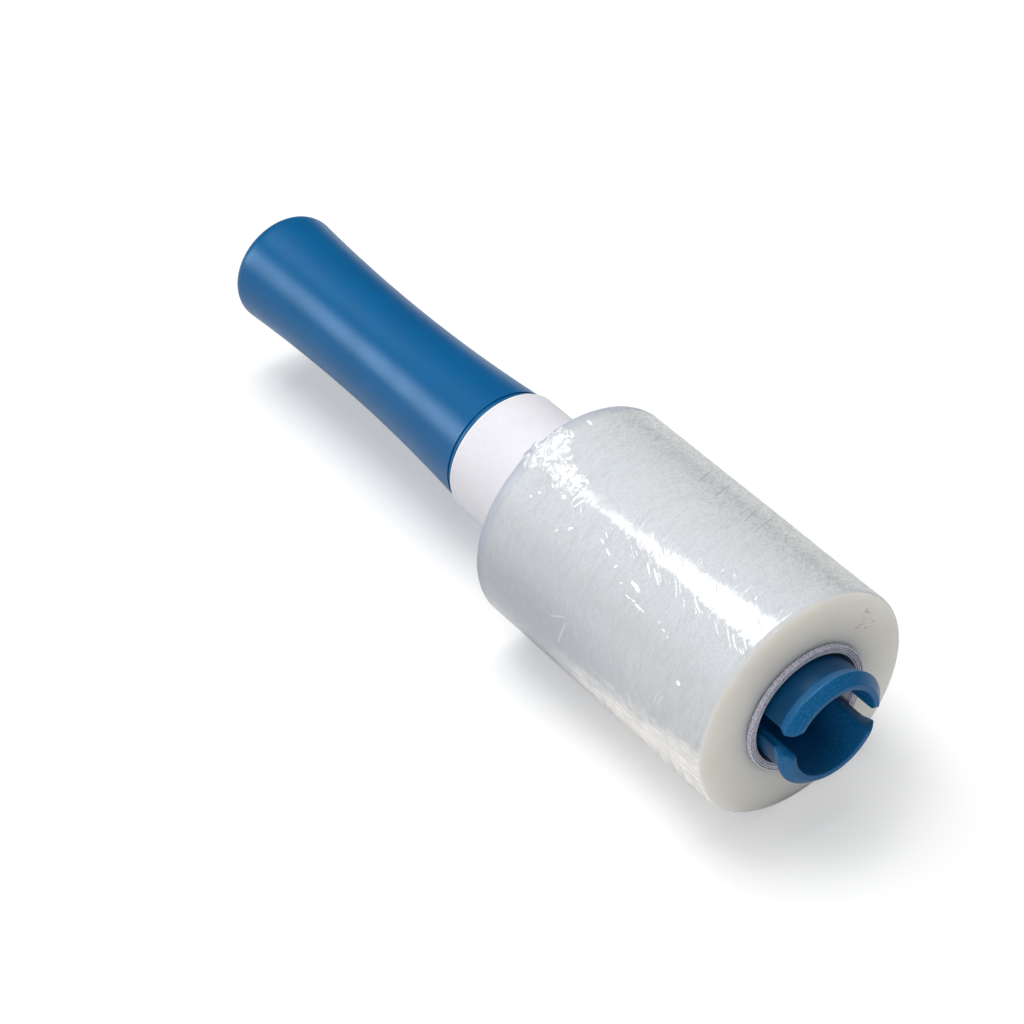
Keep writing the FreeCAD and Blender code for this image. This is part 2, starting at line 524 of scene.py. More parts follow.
class Sheet(Graph):
    """The film's material, with places in millimetres along X and along the turns."""

    def __init__(self, name: str, axis_height: float, radius: float) -> None:
        """Start the material and draw what several of its sockets share.

        Args:
            name: The material's name.
            axis_height: Height of the roll's axis.
            radius: The film's radius.
        """
        super().__init__(name)
        self.material.cycles.emission_sampling = "NONE"
        x, y, z = self.parts()
        self.radius = radius / MM
        self.x = x * (1 / MM)
        self.hoop = y.math("ARCTAN2", z - axis_height) * self.radius
        self.flow = self.noise(self.scaled(40.0), detail=1.0)
        self.drawn = self.x + (self.flow - 0.5) * 9.0
        shaken = (self.noise(self.scaled(900.0), detail=1.0) - 0.5) * 0.5
        self.ragged_x, self.ragged_hoop = self.x + shaken, self.hoop - shaken
        self.one, self.two = self.strokes(THREADS), self.strokes(CROSSING_THREADS)
        self.weave = self.one * 0.55 + self.two * 0.45
        self.broad = self.strokes(BROAD_STREAKS)
        self.ridge = self.strokes(CRINKLES).crest(24.0)
        self.hair = self.strokes(HAIRS).crest(60.0)
        behind = self.hoop.ramp(34.0, 60.0) * 0.6
        self.upper = self.hoop.ramp(-10.0, 38.0) * (1 - behind) * self.hoop.ramp(106.0, 70.0)
        self.lower = self.below(-24.0, -38.0)
        self.loose, self.ripple = self.loosened()
        self.patch, self.crests, self.folds = self.crumpled()

    def strokes(self, layer: Strokes) -> Value:
        """Add one layer of strokes.

        Args:
            layer: The layer.

        Returns:
            The noise, around 0.5.
        """
        across = (self.drawn + self.hoop * layer.slant) * (1 / layer.wide)
        place = self.combine(across, self.hoop * (1 / layer.long), layer.slant * 50 + layer.wide)
        return self.noise(place, detail=layer.detail, warp=0.4, rough=0.6)

    def below(self, start: float, full: float) -> Value:
        """Choose the -Y side below a line, and nothing at the seam under the roll."""
        return self.hoop.ramp(start, full) * self.hoop.ramp(-106.0, -80.0)

    def facet(self, mark: Mark) -> Value:
        """Find one mark, its outline a little ragged.

        Args:
            mark: The mark.

        Returns:
            1 inside the mark and 0 outside it.
        """
        cosine, sine = math.cos(math.radians(mark.slant)), math.sin(math.radians(mark.slant))
        off_x = self.ragged_x - mark.x
        off_hoop = self.ragged_hoop - math.radians(90.0 - mark.turn) * self.radius
        along = off_hoop * (cosine / mark.length) + off_x * (sine / mark.length)
        aside = off_x * (cosine / mark.width) - off_hoop * (sine / mark.width)
        return ((along * along) ** 2.0 + (aside * aside) ** 2.0).ramp(1.0, 0.4)

    def loosened(self) -> tuple[Value, Value]:
        """Give the loose, rippled part low on the -Y side, which widens towards the front.

        Returns:
            Where it lies, and its ripples along X.
        """
        frayed = self.noise(self.scaled(130.0, 260.0), detail=3.0)
        edge = self.hoop + (128.0 - self.x) * 0.167 + (frayed - 0.5) * 14.0 + 52.0
        inside = edge.ramp(3.5, -6.5) * self.x.ramp(40.0, 80.0) * self.hoop.ramp(-104.0, -76.0)
        wander = self.noise(self.scaled(90.0))
        place = self.combine(self.x * 0.11, (self.hoop + self.x * 0.12) * 0.8 + wander * 2.5)
        return inside, self.noise(place, detail=3.0, rough=0.6).ramp(0.35, 0.65)

    def crumpled(self) -> tuple[Value, Value, Value]:
        """Give the fine folds of the crumpled patch beside the collar.

        Returns:
            Where the patch lies, the crests of its folds, and their height.
        """
        x, hoop = self.x, self.hoop
        frayed = self.noise(self.scaled(260.0)) - 0.5
        near = ((x - 22.5) * 0.16) ** 2.0 + ((hoop + 14.0) * 0.10) ** 2.0
        far = ((x - 35.0) * 0.12) ** 2.0 + ((hoop + 17.0) * 0.22) ** 2.0
        inside = (near.math("MINIMUM", far) + frayed * 2.6).ramp(0.95, 0.4)
        place = self.combine(x * 0.36 + hoop * 0.12, hoop * 0.22)
        folds = self.noise(place, detail=1.0, warp=1.1, rough=0.4)
        crests = folds.crest(22.0)
        return inside, inside * crests, inside * (folds * 12.0 + crests * 2.0)

    def leaned(self, lean: Value, forward: Value) -> bpy.types.NodeSocket:
        """Lean the normal, which frays the edge of a reflection.

        Args:
            lean: How far it leans along the turns, towards larger angles.
            forward: How far it leans towards +X.

        Returns:
            The leaning normal.
        """
        ahead = (1.0, 0.0, 0.0)
        own = self.node("ShaderNodeNewGeometry", {}, {}).outputs["Normal"]
        along = self.vector("CROSS_PRODUCT", ahead, own)
        leaning = self.vector("ADD", own, self.vector("SCALE", along, lean))
        leaning = self.vector("ADD", leaning, self.vector("SCALE", ahead, forward))
        return self.vector("NORMALIZE", leaning)


@dataclass(frozen=True)
class FilmSkin:
    """The outer turns of clear stretch film: glossy, milky and drawn into fine threads."""

    axis_height: float
    radius: float
    cool_shade: Colour = tint(220, 224, 229)
    warm_light: Colour = tint(227, 229, 225)
    streak_and_shade: Colour = tint(196, 200, 202)
    crease_shade: Colour = tint(150, 156, 160)
    pale: Colour = tint(244, 245, 246)
    # The white colour is a painted highlight on the crumpled patch.
    white: Colour = tint(255, 255, 255)
    loose_bounce_light: Colour = tint(253, 249, 244)
    # The hem colour is painted shade along the rounded back edge.
    hem: Colour = tint(164, 173, 190)
    low_back_shade: Colour = tint(152, 157, 172)
    wrinkle: Colour = tint(120, 126, 130)
    no_glow: Colour = tint(0, 0, 0)
    # The glow colour is painted light: the loose part glows a little.
    glow: Colour = tint(92, 90, 87)
    painted_crest_glint: Colour = tint(160, 160, 157)
    gloss: float = 0.07
    hem_dullness: float = 0.6
    lamp_turn: float = 114.5

    def colours(self, sheet: Sheet) -> bpy.types.NodeSocket:
        """Colour the film: milky ground, edges and marks, with painted light and shade.

        Args:
            sheet: The material.

        Returns:
            The colour.
        """
        x, upper, lower = sheet.x, sheet.upper, sheet.lower
        weave, hair, streak_and_shade = sheet.weave, sheet.hair, self.streak_and_shade
        layers = [
            (sheet.strokes(GRAIN).ramp(0.44, 0.64) * (upper * 0.2 + 0.45), streak_and_shade),
            (weave.ramp(0.48, 0.66) * (upper * 0.7 + 0.2 - lower * 0.1), streak_and_shade),
            (sheet.broad.ramp(0.48, 0.70) * 0.35, streak_and_shade),
            (weave.ramp(0.44, 0.32) * (0.14 - lower * 0.10), self.pale),
            # Painted shade along the crinkles and hairs on the upper side.
            (sheet.ridge * upper * 1.1, self.crease_shade),
            (hair * upper * 0.55, self.crease_shade),
            # Painted shade: darker and bluer low on the -Y side, more so towards the back.
            (sheet.below(-30.0, -58.0) * (x.ramp(95.0, 45.0) * 0.6 + 0.15), self.low_back_shade),
            # Painted shade: the lower side is darkened towards the streak grey.
            (lower * 0.35, streak_and_shade),
            (hair * lower * 0.14, self.pale),
            # Painted shade: a bluish dark band along the rounded back edge.
            (x.ramp(24.5, 19.5) * 0.7, self.hem),
            # Painted highlight: a pale line along the front edge.
            (x.ramp(117.7, 118.1) * 0.6, self.pale),
            # Painted light: the loose part low on the -Y side is lightened with a warm white, as if
            # lit from the floor.
            (sheet.loose * (0.6 + sheet.ripple * 0.4), self.loose_bounce_light),
            # Painted highlight: the crumpled patch is whitened, most along the crests of its folds.
            (sheet.patch * 0.15 + sheet.crests * 0.85, self.white),
        ]
        # SHADE marks are painted shade in wrinkles; CREASE marks are pale lines.
        inks = {Look.SHADE: self.wrinkle, Look.CREASE: self.pale}
        layers += [(sheet.facet(mark) * 0.32, inks[mark.look]) for mark in MARKS
                   if mark.look in inks]
        # Painted light and shade: the upper side is warmer and lighter and the lower side cooler
        # and darker; the flow noise adds tone that varies at random.
        colour = sheet.mix(upper + (sheet.flow - 0.5) * 0.6, self.cool_shade, self.warm_light)
        for share, ink in layers:
            colour = sheet.mix(share, colour, ink)
        return colour

    def leans(self, sheet: Sheet) -> tuple[Value, Value]:
        """Lean the surface: threads, the spikes and comets of the long reflection, and glints.

        Args:
            sheet: The material.

        Returns:
            How far it leans along the turns and along X.
        """
        lean = (sheet.one + sheet.two - 1.0) * (0.06 - sheet.lower * 0.04 - sheet.upper * 0.06)
        lean = lean + (sheet.broad - 0.5) * 0.12
        lean = lean + sheet.strokes(SPIKES).ramp(0.60, 0.74) * 0.13
        lean = lean - sheet.strokes(COMETS).ramp(0.60, 0.66) * 0.12
        forward = sheet.patch * 0.06
        for mark in MARKS:
            if mark.look is Look.GLINT:
                facet = sheet.facet(mark)
                lean = lean + facet * math.tan(math.radians(self.lamp_turn - mark.turn))
                forward = forward + facet * 0.08
        return lean, forward

    def build(self) -> bpy.types.Material:
        """Make the material."""
        sheet = Sheet("stretch_film_skin", self.axis_height, self.radius)
        # Painted light: the loose part glows a little, standing in for light through the film.
        glow = sheet.mix(sheet.loose * (0.5 + sheet.ripple * 0.5), self.no_glow, self.glow)
        height = sheet.weave * 0.15 + sheet.ridge * sheet.upper * 0.6
        height = height + sheet.hair * sheet.lower * 0.15 + sheet.folds
        height = height + sheet.loose * sheet.ripple * 2.2
        leaned = sheet.leaned(*self.leans(sheet))
        return sheet.surface({
            "Base Color": self.colours(sheet),
            "Roughness": self.gloss + sheet.x.ramp(23.0, 20.0) * self.hem_dullness,
            "IOR": 1.5,
            # The crests of the crumpled patch glow as a painted highlight.
            "Emission Color": sheet.mix(sheet.crests, glow, self.painted_crest_glint),
            "Emission Strength": 1.0,
            "Normal": sheet.bump(height, 0.035 * MM, leaned),
        })


@dataclass(frozen=True)
class FilmEdge:
    """The film's end faces, where thousands of edges lie side by side: creamy and smooth."""

    axis_height: float
    colour: Colour = tint(243, 240, 232)
    dim: Colour = tint(236, 231, 222)
    scratch: Colour = tint(176, 168, 156)
    scratched_radius: float = 28.6 * MM
    scratched_turn: float = 42.3
    scratched_from: float = 110.0 * MM

    def build(self) -> bpy.types.Material:
        """Make the material."""
        graph = Graph("stretch_film_edges")
        x, radius, turn = graph.polar(self.axis_height)
        rings = graph.noise(graph.combine(radius * 2200.0), detail=3.0)
        clouds = graph.noise(graph.scaled(55.0), warp=0.3)
        shade = rings.ramp(0.3, 0.75) * 0.4 + clouds.ramp(0.35, 0.7) * 0.4
        place = graph.combine(radius * 1500.0, turn * 0.16)
        scratches = graph.noise(place, detail=1.0, warp=0.2).ramp(0.56, 0.65)
        where = abs(radius - self.scratched_radius).ramp(4 * MM, 2 * MM)
        where = where * abs(turn - self.scratched_turn).ramp(9.0, 5.0)
        where = where * x.ramp(self.scratched_from, self.scratched_from + 2 * MM)
        colour = graph.mix(shade, self.colour, self.dim)
        return graph.surface({
            "Base Color": graph.mix(scratches * where * 0.6, colour, self.scratch),
            "Roughness": 0.42,
            "IOR": 1.45,
            "Subsurface Weight": 1.0,
            "Subsurface Radius": (1.0, 0.95, 0.85),
            "Subsurface Scale": 12 * MM,
            "Normal": graph.bump(rings, 0.015 * MM),
        })


class Bench:
    """Steps that several pieces share."""

    @staticmethod
    def tidy() -> None:
        """Leave edit mode and deselect everything."""
        if bpy.context.mode != "OBJECT":
            bpy.ops.object.mode_set(mode="OBJECT")
        bpy.ops.object.select_all(action="DESELECT")

    @staticmethod
    def draw(name: str, profile: Profile) -> bpy.types.Object:
        """Draw a profile above the X axis by extruding one vertex from point to point.

        Args:
            name: The piece's name.
            profile: Places along X with their radius.

        Returns:
            The piece, in edit mode with all selected.
        """
        Bench.tidy()
        bpy.ops.mesh.primitive_plane_add(size=MM, location=(0.0, 0.0, 0.0))
        piece = bpy.context.object
        piece.name = piece.data.name = name
        bpy.ops.object.mode_set(mode="EDIT")
        bpy.ops.mesh.select_mode(type="VERT")
        bpy.ops.mesh.select_all(action="SELECT")
        bpy.ops.mesh.merge(type="CENTER")
        last_x, last_radius = profile[0]
        bpy.ops.transform.translate(value=(last_x, 0.0, last_radius))
        for x, radius in profile[1:]:
            bpy.ops.mesh.extrude_vertices_move(
                TRANSFORM_OT_translate={"value": (x - last_x, 0.0, radius - last_radius)}
            )
            last_x, last_radius = x, radius
        bpy.ops.mesh.select_all(action="SELECT")
        return piece

    @staticmethod
    def turn(name: str, profile: Profile, steps: int) -> bpy.types.Object:
        """Spin a profile into a closed turned piece about the X axis.

        Args:
            name: The piece's name.
            profile: Places along X with their radius.
            steps: Steps of the full turn.

        Returns:
            The piece, in object mode.
        """
        piece = Bench.draw(name, profile)
        bpy.ops.mesh.spin(steps=steps, angle=math.tau, center=(0, 0, 0), axis=(1, 0, 0))
        bpy.ops.mesh.select_all(action="SELECT")
        bpy.ops.mesh.remove_doubles(threshold=0.002 * MM)
        bpy.ops.mesh.normals_make_consistent(inside=False)
        bpy.ops.object.mode_set(mode="OBJECT")
        return piece

    @staticmethod
    def points(piece: bpy.types.Object) -> np.ndarray:
        """Read the places of a piece's vertices.

        Args:
            piece: The piece.

        Returns:
            One row of x, y and z for each vertex.
        """
        flat = np.empty(len(piece.data.vertices) * 3)
        piece.data.vertices.foreach_get("co", flat)
        return flat.reshape(-1, 3)

    @staticmethod
    def put(piece: bpy.types.Object, places: np.ndarray) -> None:
        """Move a piece's vertices.

        Args:
            piece: The piece.
            places: One row of x, y and z for each vertex.
        """
        piece.data.vertices.foreach_set("co", places.ravel())
        piece.data.update()

    @staticmethod
    def select(piece: bpy.types.Object, kind: str, chosen: np.ndarray) -> None:
        """Go into edit mode with some faces or edges selected.

        Args:
            piece: The piece, in object mode.
            kind: FACE or EDGE.
            chosen: Whether each face or edge is selected.
        """
        mesh = piece.data
        for items in (mesh.vertices, mesh.edges, mesh.polygons):
            items.foreach_set("select", np.zeros(len(items), dtype=bool))
        items = mesh.polygons if kind == "FACE" else mesh.edges
        items.foreach_set("select", chosen)
        bpy.context.view_layer.objects.active = piece
        bpy.context.tool_settings.mesh_select_mode = (False, kind == "EDGE", kind == "FACE")
        bpy.ops.object.mode_set(mode="EDIT")

    @staticmethod
    def middles(piece: bpy.types.Object) -> np.ndarray:
        """Give the middle of each face.

        Args:
            piece: The piece.

        Returns:
            One row of x, y and z for each face.
        """
        flat = np.empty(len(piece.data.polygons) * 3)
        piece.data.polygons.foreach_get("center", flat)
        return flat.reshape(-1, 3)

    @staticmethod
    def ends(piece: bpy.types.Object) -> np.ndarray:
        """Give both ends of each edge.

        Args:
            piece: The piece.

        Returns:
            Two rows of x, y and z for each edge.
        """
        pairs = np.empty(len(piece.data.edges) * 2, dtype=int)
        piece.data.edges.foreach_get("vertices", pairs)
        return Bench.points(piece)[pairs.reshape(-1, 2)]

    @staticmethod
    def finish(
        piece: bpy.types.Object, lift: float, turn: float, smooth_below: float,
        materials: list[bpy.types.Material], body: Body, slot: Slot, node: str,
    ) -> None:
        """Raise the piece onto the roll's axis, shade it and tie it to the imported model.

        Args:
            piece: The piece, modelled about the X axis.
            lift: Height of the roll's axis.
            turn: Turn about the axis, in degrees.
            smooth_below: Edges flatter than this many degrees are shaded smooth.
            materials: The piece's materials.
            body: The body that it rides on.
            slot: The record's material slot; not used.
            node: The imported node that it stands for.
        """
        Bench.tidy()
        piece.select_set(True)
        bpy.context.view_layer.objects.active = piece
        piece.rotation_euler = (math.radians(turn), 0.0, 0.0)
        piece.location = (0.0, 0.0, lift)
        bpy.ops.object.transform_apply(location=True, rotation=True, scale=True)
        bpy.ops.object.shade_smooth_by_angle(angle=math.radians(smooth_below))
        for material in materials:
            piece.data.materials.append(material)
        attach(piece, body.value)
        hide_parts(node)
        log.info("%s: %d faces on body %s", piece.name, len(piece.data.polygons), body.value)


def arc(
    centre: tuple[float, float], radius: float, start: float, end: float, steps: int
) -> Profile:
    """Give points along an arc of a profile.

    Args:
        centre: The arc's centre, along X and out from the axis.
        radius: Its radius.
        start: Angle of its first point in degrees, 0 along +X and 90 outwards.
        end: Angle of its last point in degrees.
        steps: Pieces that the arc is divided into.

    Returns:
        The points, both ends among them.
    """
    points = []
    for step in range(steps + 1):
        angle = math.radians(start + (end - start) * step / steps)
        points.append((centre[0] + radius * math.cos(angle), centre[1] + radius * math.sin(angle)))
    return points


def corner(
    before: tuple[float, float], at: tuple[float, float], after: tuple[float, float],
    radius: float, steps: int,
) -> Profile:
    """Round one corner of a profile with a tangent arc.

    Args:
        before: A point on the line into the corner.
        at: The corner.
        after: A point on the line out of it.
        radius: The arc's radius.
        steps: Pieces that the arc is divided into.

    Returns:
        The arc's points, in order.
    """
    here = np.array(at)
    into = here - np.array(before)
    into = into / np.linalg.norm(into)
    out = np.array(after) - here
    out = out / np.linalg.norm(out)
    bend = math.acos(max(-1.0, min(1.0, float(into @ out))))
    start = here - into * radius * math.tan(bend / 2)
    inward = (out - into) / np.linalg.norm(out - into)
    middle = here + inward * radius / math.cos(bend / 2)
    arm = start - middle
    side = math.copysign(1.0, float(into[0] * out[1] - into[1] * out[0]))
    points = []
    for step in range(steps + 1):
        angle = side * bend * step / steps
        turned = (arm[0] * math.cos(angle) - arm[1] * math.sin(angle),
                  arm[0] * math.sin(angle) + arm[1] * math.cos(angle))
        points.append((float(middle[0] + turned[0]), float(middle[1] + turned[1])))
    return points


@dataclass(frozen=True)
class Places:
    """Where the pieces meet along the roll's axis."""

    axis_height: float = 36.0 * MM
    grip_end: float = -132.75 * MM
    shoulder: float = -14.75 * MM
    core_back: float = -14.45 * MM
    film_back: float = 18.55 * MM
    film_front: float = 118.55 * MM
    core_front: float = 121.05 * MM
    tip: float = 132.75 * MM


@dataclass(frozen=True)
class Handle:
    """The one-piece handle: grip, shoulder, spindle and the tip that two slots split."""

    places: Places
    end_radius: float = 18.85 * MM
    end_round: float = 4.0 * MM
    end_wall: float = 4.0 * MM
    waist_radius: float = 16.85 * MM
    waist_station: float = 64.0 * MM
    shoulder_radius: float = 19.7 * MM
    bead_width: float = 1.4 * MM
    bead_round: float = 0.35 * MM
    groove_width: float = 0.6 * MM
    groove_depth: float = 0.4 * MM
    spindle_radius: float = 17.0 * MM
    bore_radius: float = 13.8 * MM
    ramp_length: float = 3.0 * MM
    lip_height: float = 1.4 * MM
    ridge_round: float = 0.6 * MM
    nose_length: float = 2.7 * MM
    nose_fall: float = 2.8 * MM
    rim_round: float = 0.5 * MM
    slot_width: float = 6.4 * MM
    slot_depth: float = 36.0 * MM
    slot_angle: float = 166.8
    finger_round: float = 1.9 * MM
    edge_round: float = 0.3 * MM
    columns: int = 128
    slot_columns: int = 4
    spread: float = 45.0

    def grip(self) -> Profile:
        """Draw the grip from its closed end over the waist to the groove."""
        waist = self.places.shoulder - self.waist_station
        back_run = waist - self.places.grip_end
        back_rise = self.end_radius - self.waist_radius
        back = (back_run ** 2 + back_rise ** 2) / (2 * back_rise)
        back_centre = (waist, self.waist_radius + back)
        run = back_run - self.end_round
        drop = math.sqrt((back + self.end_round) ** 2 - run ** 2)
        round_centre = (waist - run, back_centre[1] - drop)
        lean = math.degrees(math.atan2(drop, run))
        groove = self.places.shoulder - self.bead_width - self.groove_width
        front_run = groove - waist
        front_rise = self.shoulder_radius - self.waist_radius
        front = (front_run ** 2 + front_rise ** 2) / (2 * front_rise)
        front_centre = (waist, self.waist_radius + front)
        reach = math.degrees(math.asin(front_run / front))
        face = round_centre[1]
        return (
            [(self.places.grip_end, 0.0), (self.places.grip_end, face * 0.5)]
            + arc(round_centre, self.end_round, 180.0, lean, 10)
            + arc(back_centre, back, lean - 180.0, -90.0, 22)[1:]
            + arc(front_centre, front, -90.0, reach - 90.0, 24)[1:]
        )

    def shoulder(self) -> Profile:
        """Draw the groove and the bead, and go down to the spindle."""
        face = self.places.shoulder
        groove = face - self.bead_width - self.groove_width
        bead = groove + self.groove_width
        low = self.shoulder_radius - self.groove_depth
        top = self.shoulder_radius
        return (
            [(groove, low), (bead, low)]
            + corner((bead, low), (bead, top), (face, top), self.bead_round, 4)
            + corner((bead, top), (face, top), (face, self.spindle_radius), self.bead_round, 4)
            + [(face, self.spindle_radius)]
        )

    def tip(self) -> Profile:
        """Draw the spindle's end from where the slots are straight to the outer rim."""
        ridge = self.places.tip - self.nose_length
        foot = ridge - self.ramp_length
        high = self.spindle_radius + self.lip_height
        rim = high - self.nose_fall
        start = self.places.tip - self.slot_depth + self.slot_width / 2
        root = corner((start, self.spindle_radius), (foot, self.spindle_radius), (ridge, high),
                      self.ridge_round, 2)
        nose = corner((foot, self.spindle_radius), (ridge, high), (self.places.tip, rim),
                      self.ridge_round, 5)
        end = corner((ridge, high), (self.places.tip, rim), (self.places.tip, 0.0),
                     self.rim_round, 6)
        middle = [
            tuple(a + (b - a) * part for a, b in zip(nose[-1], end[0]))
            for part in (0.22, 0.42, 0.6, 0.76, 0.9)
        ]
        return (
            [(start, self.spindle_radius), (foot - 12 * MM, self.spindle_radius),
             (foot - 1.0 * MM, self.spindle_radius)]
            + root + nose + middle + end
        )

    def profile(self) -> Profile:
        """Draw the whole closed outline."""
        tip = self.tip()
        rim_steps = 6
        inner_rim = corner((self.places.tip, self.spindle_radius),
                           (self.places.tip, self.bore_radius),
                           (self.places.grip_end, self.bore_radius), self.rim_round, rim_steps)
        inner = [(x, self.bore_radius) for x, _ in reversed(tip[:-rim_steps - 1])]
        bottom = self.places.grip_end + self.end_wall
        behind = self.places.tip - self.slot_depth - 4 * MM
        return (
            self.grip() + self.shoulder()
            + [(behind, self.spindle_radius)] + tip + inner_rim + inner
            + [(behind, self.bore_radius), (bottom, self.bore_radius), (bottom, 0.0)]
        )

    def half_gap(self, x: np.ndarray) -> np.ndarray:
        """Give half the slot's width at each place along X, wider at its rounded mouth.

        Args:
            x: Places along X.

        Returns:
            Half the width at each place.
        """
        past = np.clip(x - (self.places.tip - self.finger_round), 0.0, self.finger_round)
        flare = self.finger_round - np.sqrt(self.finger_round ** 2 - past ** 2)
        return self.slot_width / 2 + flare

    def open_slots(self, piece: bpy.types.Object) -> None:
        """Cut both slots: line the columns up with their sides, open them and wall them.

        Args:
            piece: The turned handle, with the slots' middle columns straight up and down.
        """
        start = self.places.tip - self.slot_depth + self.slot_width / 2
        step = 360.0 / self.columns
        edge = step * self.slot_columns
        second = edge + 2 * step
        places = Bench.points(piece)
        radius = np.maximum(np.hypot(places[:, 1], places[:, 2]), MM)
        split = places[:, 0] > start - 0.01 * MM
        angle = np.degrees(np.arctan2(places[:, 1], np.abs(places[:, 2])))
        side = np.degrees(np.arcsin(np.clip(self.half_gap(places[:, 0]) / radius, 0.0, 0.9)))
        far = np.abs(angle)
        inside = far * side / edge
        near = side + np.degrees(0.3 * self.edge_round / radius)
        full = side + np.degrees(self.edge_round / radius)
        outside = full + (far - second) * (self.spread - full) / (self.spread - second)
        outside = np.where(far < second - 0.1, near, outside)
        moved = np.where(far <= edge + 0.1, inside, np.where(far < self.spread, outside, far))
        moved = np.where(split, moved, far)
        inward = np.clip(self.edge_round - np.radians(moved - side) * radius, 0.0, self.edge_round)
        drop = self.edge_round - np.sqrt(self.edge_round ** 2 - inward ** 2)
        rounded = (places[:, 0] > start + 0.01 * MM) & (far > edge - 0.1)
        outer = np.where(radius > self.bore_radius + 0.9 * MM, 1.0, -1.0)
        radius = radius - np.where(rounded, drop, 0.0) * outer
        root = split & (places[:, 0] < start + 0.01 * MM) & (far < edge + 0.1)
        across = radius * np.sin(np.radians(moved)) * np.sign(angle)
        on_axis = np.hypot(places[:, 1], places[:, 2]) < 0.5 * MM
        up = radius * np.cos(np.radians(moved)) * np.where(places[:, 2] < 0, -1.0, 1.0)
        places[:, 1] = np.where(on_axis, places[:, 1], across)
        places[:, 2] = np.where(on_axis, places[:, 2], up)
        back = np.sqrt(np.clip((self.slot_width / 2) ** 2 - across ** 2, 0.0, None))
        places[:, 0] -= np.where(root, back, 0.0)
        Bench.put(piece, places)
        self.remove_strips(piece, start)
        self.wall_slots(piece)

    def remove_strips(self, piece: bpy.types.Object, start: float) -> None:
        """Delete the faces over both slots.

        Args:
            piece: The handle.
            start: Where the slots' straight sides begin.
        """
        middles = Bench.middles(piece)
        inside = np.abs(middles[:, 1]) < self.half_gap(np.minimum(middles[:, 0], self.places.tip))
        straight = middles[:, 0] > start - self.slot_width / 2 + 0.05 * MM
        edge = 360.0 / self.columns * self.slot_columns
        narrow = np.abs(np.degrees(np.arctan2(middles[:, 1], np.abs(middles[:, 2])))) < edge + 12
        flat = middles[:, 0] > start
        behind = np.minimum(middles[:, 0] - start, 0)
        off_root = np.hypot(behind, middles[:, 1]) < self.slot_width / 2
        Bench.select(piece, "FACE", inside & straight & narrow & (flat | off_root))
        bpy.ops.mesh.delete(type="FACE")
        bpy.ops.object.mode_set(mode="OBJECT")

    def wall_slots(self, piece: bpy.types.Object) -> None:
        """Join the bore's skin to the outer skin along both slots.

        Args:
            piece: The handle with its slots open.
        """
        for up in (1.0, -1.0):
            Bench.select(piece, "EDGE", np.zeros(len(piece.data.edges), dtype=bool))
            bpy.ops.mesh.select_non_manifold(extend=False)
            bpy.ops.object.mode_set(mode="OBJECT")
            chosen = np.empty(len(piece.data.edges), dtype=bool)
            piece.data.edges.foreach_get("select", chosen)
            ends = Bench.ends(piece)
            chosen &= ends.mean(axis=1)[:, 2] * up > 0
            at_end = (ends[:, :, 0] > self.places.tip - 0.002 * MM).all(axis=1)
            Bench.select(piece, "EDGE", chosen & ~at_end)
            bpy.ops.mesh.bridge_edge_loops()
            bpy.ops.object.mode_set(mode="OBJECT")
        Bench.select(piece, "FACE", np.ones(len(piece.data.polygons), dtype=bool))
        bpy.ops.mesh.normals_make_consistent(inside=False)
        bpy.ops.object.mode_set(mode="OBJECT")

    def build(self) -> bpy.types.Object:
        """Model the handle and dress it."""
        piece = Bench.turn("handle_moulding", self.profile(), self.columns)
        self.open_slots(piece)
        ridge = self.places.tip - self.nose_length
        plastic = MouldedPlastic(
            self.places.axis_height, self.bore_radius, ridge - self.ramp_length, ridge
        )
        Bench.finish(
            piece, self.places.axis_height, self.slot_angle - 90.0, 40.0, [plastic.build()],
            Body.HANDLE, Slot.PLASTIC, "handle",
        )
        return piece


